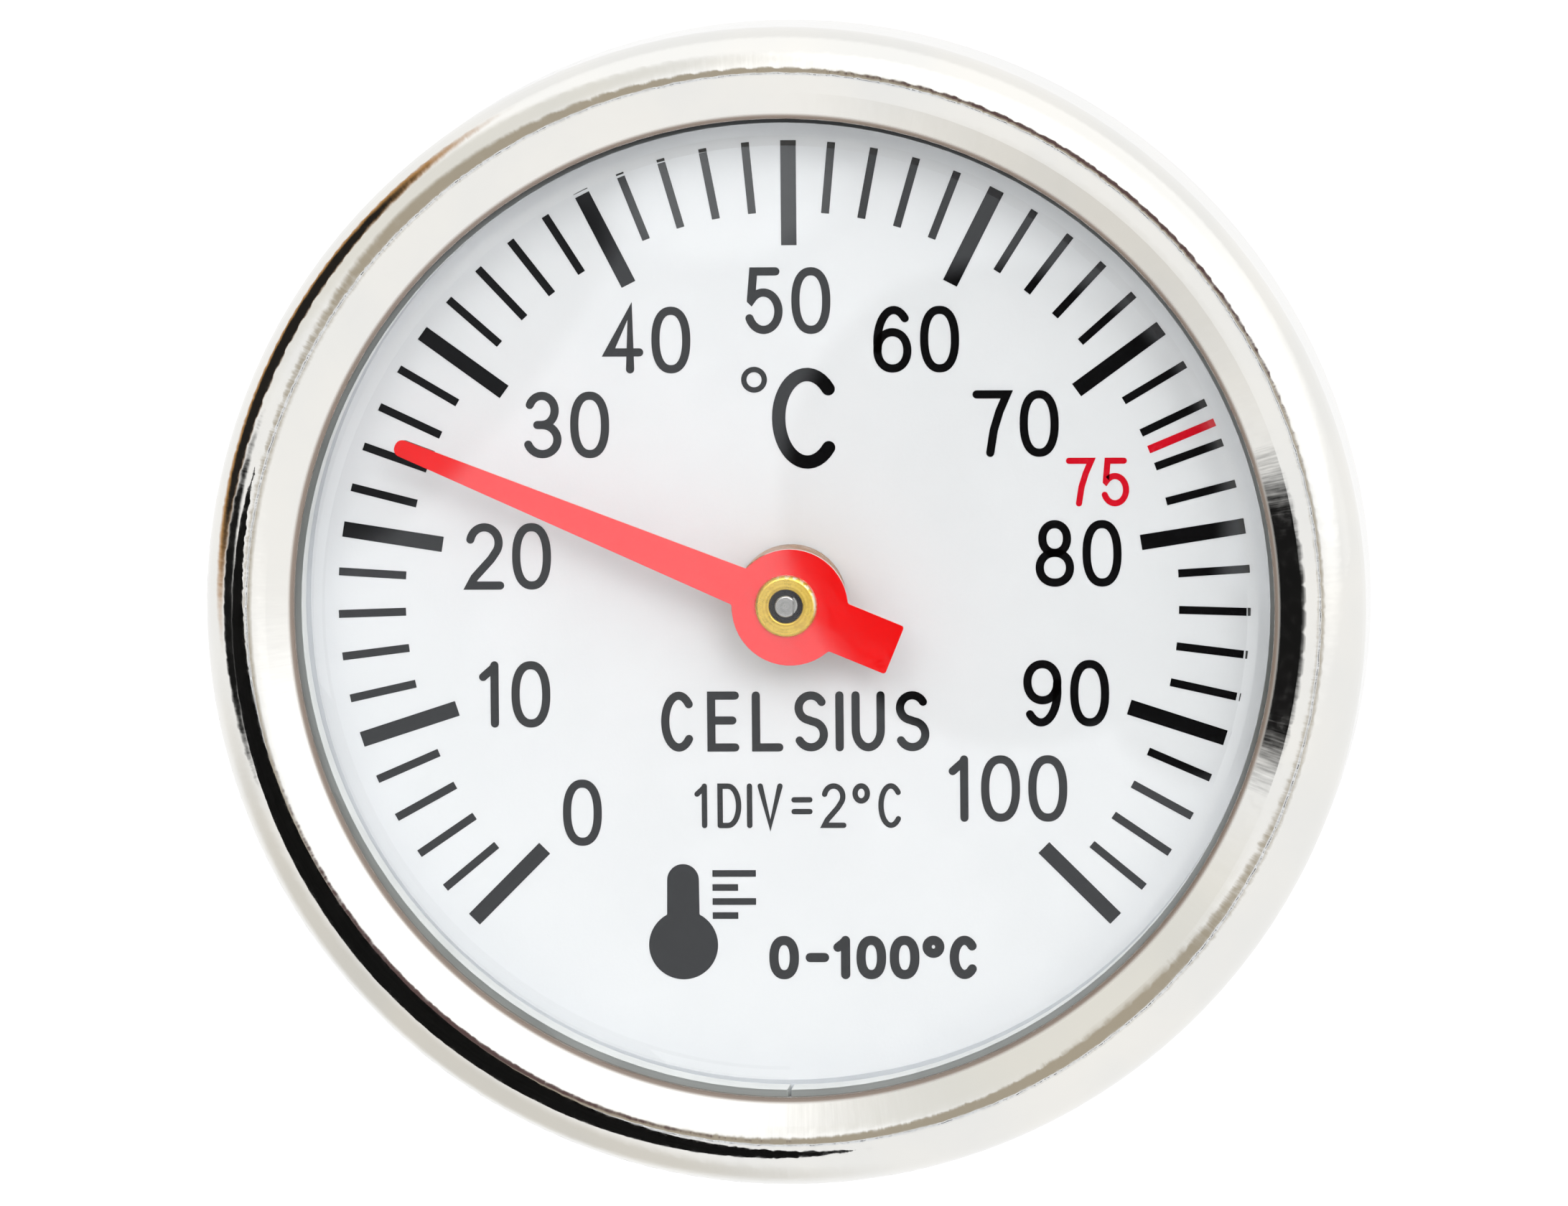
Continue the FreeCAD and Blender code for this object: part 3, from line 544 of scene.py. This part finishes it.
class Print:
    """Flat printed marks on the dial, gathered in one mesh of closed thin solids."""

    def __init__(self, name):
        self.name = name
        self.shape = bmesh.new()

    def layer(self, points, fore):
        return [self.shape.verts.new((x * MM, -fore * MM, z * MM)) for x, z in points]

    def raised(self, *loops):
        """The loops' vertices twice: a little inside the dial, and a little in front of it."""
        back = [self.layer(loop, DIAL_FRONT - PRINT_SUNK) for loop in loops]
        front = [self.layer(loop, DIAL_FRONT + PRINT_PROUD) for loop in loops]
        return back, front

    def fill(self, outline):
        """One filled outline, counterclockwise as the dial is read."""
        (back,), (front,) = self.raised(outline)
        self.shape.faces.new(front)
        self.shape.faces.new(back[::-1])
        count = len(outline)
        for k in range(count):
            n = (k + 1) % count
            self.shape.faces.new((front[n], front[k], back[k], back[n]))

    def band(self, path, width, closed=False, round_ends=True):
        """A stroke of constant width along a path."""
        left, right = edges_of(path, width / 2, closed)
        if not closed and round_ends:
            self.fill(left[::-1] + half_turn(path[0], left[0]) + right + half_turn(path[-1], right[-1]))
            return
        if not closed:
            self.fill(left[::-1] + right)
            return
        (lb, rb), (lf, rf) = self.raised(left, right)  # left and right, back and front
        count = len(path)
        for k in range(count):
            n = (k + 1) % count
            self.shape.faces.new((lf[k], rf[k], rf[n], lf[n]))
            self.shape.faces.new((lb[n], rb[n], rb[k], lb[k]))
            self.shape.faces.new((lf[n], lb[n], lb[k], lf[k]))
            self.shape.faces.new((rf[k], rb[k], rb[n], rf[n]))

    def text(self, words, centre, height, pitch, stroke, width):
        """Words centred on a point; width is a wide character's, over its strokes."""
        total = sum(NARROW.get(c, 1.0) for c in words) * pitch
        x = centre[0] - total / 2
        half_w, half_h = (width - stroke) / 2, (height - stroke) / 2
        for character in words:
            room = NARROW.get(character, 1.0) * pitch
            for path, closed in GLYPHS[character]:
                placed = [(x + room / 2 + px * half_w, centre[1] + pz * half_h) for px, pz in path]
                self.band(placed, stroke, closed)
            x += room

    def finish(self, look, slot):
        """Makes the piece, which turns with the head."""
        bmesh.ops.recalc_face_normals(self.shape, faces=self.shape.faces)
        bmesh.ops.triangulate(self.shape, faces=[f for f in self.shape.faces if len(f.verts) > 4])
        piece = add_object(self.name, self.shape, look)
        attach(piece, "head")


def edges_of(path, half, closed):
    """The two sides of a stroke along a path, with mitred corners."""
    points = [Vector(p) for p in path]
    left, right = [], []
    count = len(points)
    for k, point in enumerate(points):
        before = points[k - 1] if closed or k > 0 else None
        after = points[(k + 1) % count] if closed or k < count - 1 else None
        into = (point - before).normalized() if before is not None else (after - point).normalized()
        out = (after - point).normalized() if after is not None else into
        along = (into + out).normalized()
        side = Vector((-along.y, along.x))
        reach = half / max(side.dot(Vector((-out.y, out.x))), MITRE_LIMIT)
        left.append(tuple(point + side * reach))
        right.append(tuple(point - side * reach))
    return left, right


def half_turn(centre, start, steps=8):
    """Points between a stroke's two sides, round its end, counterclockwise from start."""
    middle = Vector(centre)
    arm = Vector(start) - middle
    return [tuple(middle + Matrix.Rotation(math.pi * k / steps, 2) @ arm) for k in range(1, steps)]


def add_mark(marks, reading, inner, width):
    """One mark of the scale, from an inner radius to the scale's edge."""
    angle = math.radians(SCALE_START - reading * SCALE_STEP / DEGREES_PER_MARK)
    ends = [(r * math.cos(angle), r * math.sin(angle)) for r in (inner, MARK_OUTER)]
    marks.band(ends, width, round_ends=False)


def print_scale(black, red):
    major, minor = Print("scale_major"), Print("scale_minor")
    for mark in range(SCALE_MARKS):
        reading = mark * DEGREES_PER_MARK
        if mark % MARKS_PER_MAJOR:
            add_mark(minor, reading, MINOR_INNER, MINOR_WIDTH)
        else:
            add_mark(major, reading, MAJOR_INNER, MAJOR_WIDTH)
    major.finish(black, "dial_ink")
    minor.finish(black, "dial_ink")
    limit = Print("scale_limit")
    add_mark(limit, LIMIT_READING, MINOR_INNER, MINOR_WIDTH)
    limit.finish(red, "dial_ink_red")


def print_numerals(black, red):
    numerals = Print("numerals")
    for reading, centre in NUMERAL_CENTRES.items():
        numerals.text(str(reading), centre, NUMERAL_HEIGHT, NUMERAL_PITCH, NUMERAL_STROKE,
                      NUMERAL_WIDTH)
    numerals.finish(black, "dial_ink")
    limit = Print("numeral_limit")
    limit.text(str(LIMIT_READING), LIMIT_CENTRE, LIMIT_HEIGHT, LIMIT_PITCH, LIMIT_STROKE, LIMIT_WIDTH)
    limit.finish(red, "dial_ink_red")


def print_unit(black):
    unit = Print("unit_mark")
    ring = oval(*DEGREE_CENTRE, DEGREE_RADIUS, DEGREE_RADIUS, squareness=2.0, steps=32)
    unit.band(ring, DEGREE_STROKE, closed=True)
    unit.text("C", UNIT_CENTRE, UNIT_HEIGHT, UNIT_WIDTH, UNIT_STROKE, UNIT_WIDTH)
    unit.finish(black, "dial_ink")


def print_captions(black):
    for name, words, centre, height, pitch, stroke, width in CAPTIONS:
        caption = Print(name)
        caption.text(words, centre, height, pitch, stroke, width)
        caption.finish(black, "dial_ink")


def print_symbol(black):
    """A plain thermometer sign: bulb, tube and a few short marks."""
    sign = Print("thermometer_sign")
    middle = SIGN_BULB[0]
    bulb = arc(*SIGN_BULB, SIGN_BULB_RADIUS, SIGN_BULB_RADIUS, *SIGN_BULB_ARC, steps=40)
    top = arc(middle, SIGN_TUBE_TOP, SIGN_TUBE_RADIUS, SIGN_TUBE_RADIUS, 0, 180, steps=16)
    sign.fill(bulb + top)
    left = middle + SIGN_MARK_START
    for row, length in enumerate(SIGN_MARK_LENGTHS):
        z = SIGN_MARK_TOP - SIGN_MARK_PITCH * row
        sign.band([(left, z), (left + length, z)], SIGN_MARK_WIDTH, round_ends=False)
    sign.finish(black, "dial_ink")


def print_dial():
    black = ink("ink_charcoal", (0.0020, 0.0022, 0.0026), (0.007, 0.0075, 0.009))
    red = ink("ink_red", LIMIT_COLOUR, (0.66, 0.03, 0.05))
    print_scale(black, red)
    print_numerals(black, red)
    print_unit(black)
    print_captions(black)
    print_symbol(black)


# ---- Stage ----

FLAG_START, FLAG_END = 168, 275  # the flag's ends, degrees round the axis
FLAG_MIDDLE = 29  # radius of its middle line, millimetres
FLAG_IN, FLAG_OUT = 8.9, 10.0  # its reach to either side of that line
FLAG_FORE = 30.4
FLAG_TAPER = 0.6
FLAG_STEPS = 40

FLOOR_Z = -0.16
FLOOR_RINGS = (0.6, 2.5, 14.0)
FLOOR_STEPS = 96

LAMP_DISTANCE = 1.3
LAMP_SIZE = 0.40
LAMPS = [("key", 16, 17, 2.5), ("fill", -10, 18, 1.7)]  # azimuth, elevation and watts

# The room as the shiny pieces see it, painted in this order. Each patch: azimuth, elevation, half width,
# half height, turn, softness of its edge, colour. The small patches named for the lens are what its
# front and back surfaces mirror towards the camera.
ROOM_WHITE = (1.00, 1.00, 1.00)
ROOM = [
    ("window", 44, 38, 46, 36, 30, 0.50, (1.45, 1.45, 1.45)),
    ("grey_wall", -100, -52, 42, 34, 0, 0.60, (0.74, 0.72, 0.68)),
    ("ceiling", 0, 84, 70, 28, 0, 0.70, (1.14, 1.14, 1.14)),
    ("upper_left_wall", -46, 36, 30, 20, 0, 0.80, (0.86, 0.85, 0.81)),
    ("tan_screen", -13, 9, 24, 9, -38, 0.60, (0.44, 0.39, 0.31)),
    ("brown_shelf", -93, 23, 22, 29, 30, 0.40, (0.50, 0.27, 0.10)),
    ("brown_shelf_shade", -88, 22, 18, 23, 30, 0.40, (0.02, 0.018, 0.016)),
    ("side_card", -58, -4, 14, 13, 0, 0.50, (0.010, 0.010, 0.010)),
    ("camera_body", CAMERA_AZIMUTH, CAMERA_ELEVATION, 6.2, 6.0, 0, 0.60, (0.12, 0.075, 0.075)),
    ("lens_glare", -4.1, -5.1, 3.0, 3.0, 0, 0.15, (0.90, 0.92, 0.96)),
    ("lens_clear_right", -3.40, -4.77, 0.70, 0.77, 15, 0.12, (0.02, 0.015, 0.015)),
    ("lens_clear_left", -5.12, -4.32, 0.21, 0.76, -40, 0.40, (0.16, 0.16, 0.17)),
    ("lens_clear_low", -2.80, -5.32, 0.29, 0.33, 0, 0.30, (0.02, 0.015, 0.015)),
    ("lens_haze", -4.26, -3.78, 0.34, 0.20, 8, 0.60, (1.75, 1.8, 1.85)),
]


def paint_room():
    """A white room painted by direction, with a bright window and a few dark things in it."""
    world = bpy.data.worlds.new("studio_room")
    bpy.context.scene.world = world
    world.use_nodes = True
    room = Nodes(world.node_tree)
    out = room.add("ShaderNodeOutputWorld")
    background = room.add("ShaderNodeBackground")
    ray = room.add("ShaderNodeTexCoord").outputs["Generated"]
    room.link(background.outputs[0], out.inputs["Surface"])
    level = ROOM_WHITE
    for name, azimuth, elevation, half_width, half_height, turn, soft, colour in ROOM:
        middle = direction(azimuth, elevation)
        side = Vector((0, 0, 1)).cross(middle).normalized()
        side = Matrix.Rotation(math.radians(turn), 3, middle) @ side
        rise = middle.cross(side)
        across = room.vector("DOT_PRODUCT", ray, side / math.sin(math.radians(half_width)))
        above = room.vector("DOT_PRODUCT", ray, rise / math.sin(math.radians(half_height)))
        ahead = room.vector("DOT_PRODUCT", ray, middle)
        reach = room.math("ADD", room.math("MULTIPLY", across, across),
                          room.math("MULTIPLY", above, above))
        inside = room.remap(reach, 1 + soft, 1 - soft)
        amount = room.math("MULTIPLY", inside, room.math("GREATER_THAN", ahead, 0.0))
        level = room.blend(amount, level, colour)
        level.node.label = name
    room.link(level, background.inputs["Color"])
    background.inputs["Strength"].default_value = 1.0


def lay_floor():
    """A wide matt white disc well below the object."""
    shape = bmesh.new()
    turns = [math.tau * k / FLOOR_STEPS for k in range(FLOOR_STEPS)]
    rings = []
    for radius in FLOOR_RINGS:
        circle = [(radius * math.cos(turn), radius * math.sin(turn), FLOOR_Z) for turn in turns]
        rings.append([shape.verts.new(place) for place in circle])
    shape.faces.new(rings[0])
    for inner, outer in zip(rings, rings[1:]):
        for k in range(FLOOR_STEPS):
            n = (k + 1) % FLOOR_STEPS
            shape.faces.new((inner[k], outer[k], outer[n], inner[n]))
    look = Look("floor_white")
    grain = look.noise(scale=0.05, detail=2.0)
    look.set(Base_Color=look.blend(grain, (0.90, 0.90, 0.90), (0.92, 0.92, 0.92)), Roughness=0.9,
             Emission_Color=(1.0, 1.0, 1.0, 1.0), Emission_Strength=0.22)
    floor = add_object("floor", shape, look)
    floor.visible_glossy = floor.visible_transmission = False


def hang_flag():
    """A black crescent in front of the lower left of the bezel, which only reflections see."""
    shape = bmesh.new()
    inner, outer = [], []
    for k in range(FLAG_STEPS + 1):
        share = k / FLAG_STEPS
        swell = math.sin(math.pi * share) ** FLAG_TAPER
        angle = math.radians(FLAG_START + (FLAG_END - FLAG_START) * share)
        for ring, reach in ((inner, -FLAG_IN), (outer, FLAG_OUT)):
            radius = (FLAG_MIDDLE + reach * swell) * MM
            place = (radius * math.cos(angle), -FLAG_FORE * MM, radius * math.sin(angle))
            ring.append(shape.verts.new(place))
    for k in range(FLAG_STEPS):
        shape.faces.new((inner[k], inner[k + 1], outer[k + 1], outer[k]))
    look = Look("flag_black")
    weave = look.noise(scale=0.5, detail=2.0)
    colour = look.blend(weave, (0.004, 0.004, 0.004), (0.012, 0.012, 0.012))
    look.set(Base_Color=colour, Roughness=1.0, Specular_IOR_Level=0.0)
    flag = add_object("flag", shape, look)
    flag.visible_camera = flag.visible_diffuse = flag.visible_shadow = False
    flag.visible_transmission = False


def add_softbox(name, azimuth, elevation, power):
    """A round lamp that lights paint and print but shows in no reflection."""
    lamp = bpy.data.lights.new(name, "AREA")
    lamp.shape = "DISK"
    lamp.size = LAMP_SIZE
    lamp.energy = power
    light = bpy.data.objects.new(name, lamp)
    aim = direction(azimuth, elevation)
    light.location = aim * LAMP_DISTANCE + Vector((0, LIP_FRONT, 0))
    light.rotation_mode = "QUATERNION"
    light.rotation_quaternion = aim.to_track_quat("Z", "Y")
    light.visible_camera = light.visible_glossy = False
    bpy.context.scene.collection.objects.link(light)


def set_camera():
    data = bpy.data.cameras.new("camera")
    data.sensor_width = SENSOR_WIDTH
    data.lens = CAMERA_LENS
    data.clip_start = CAMERA_NEAR
    data.clip_end = CAMERA_FAR
    camera = bpy.data.objects.new("camera", data)
    bpy.context.scene.collection.objects.link(camera)
    back = direction(CAMERA_AZIMUTH, CAMERA_ELEVATION)
    level = Vector((0, 0, 1)).cross(back).normalized()
    aim = Vector((0, LIP_FRONT, 0)) + level * AIM_RIGHT + back.cross(level) * AIM_UP
    camera.location = aim + back * CAMERA_DISTANCE
    turn = Matrix.Rotation(math.radians(CAMERA_ROLL), 3, back)
    camera.rotation_mode = "QUATERNION"
    camera.rotation_quaternion = (turn @ back.to_track_quat("Z", "Y").to_matrix()).to_quaternion()
    bpy.context.scene.camera = camera


def set_stage():
    paint_room()
    lay_floor()
    hang_flag()
    for lamp in LAMPS:
        add_softbox(*lamp)
    bpy.context.scene.view_settings.view_transform = "Standard"
    set_camera()


dress_cad()
print_dial()
set_stage()
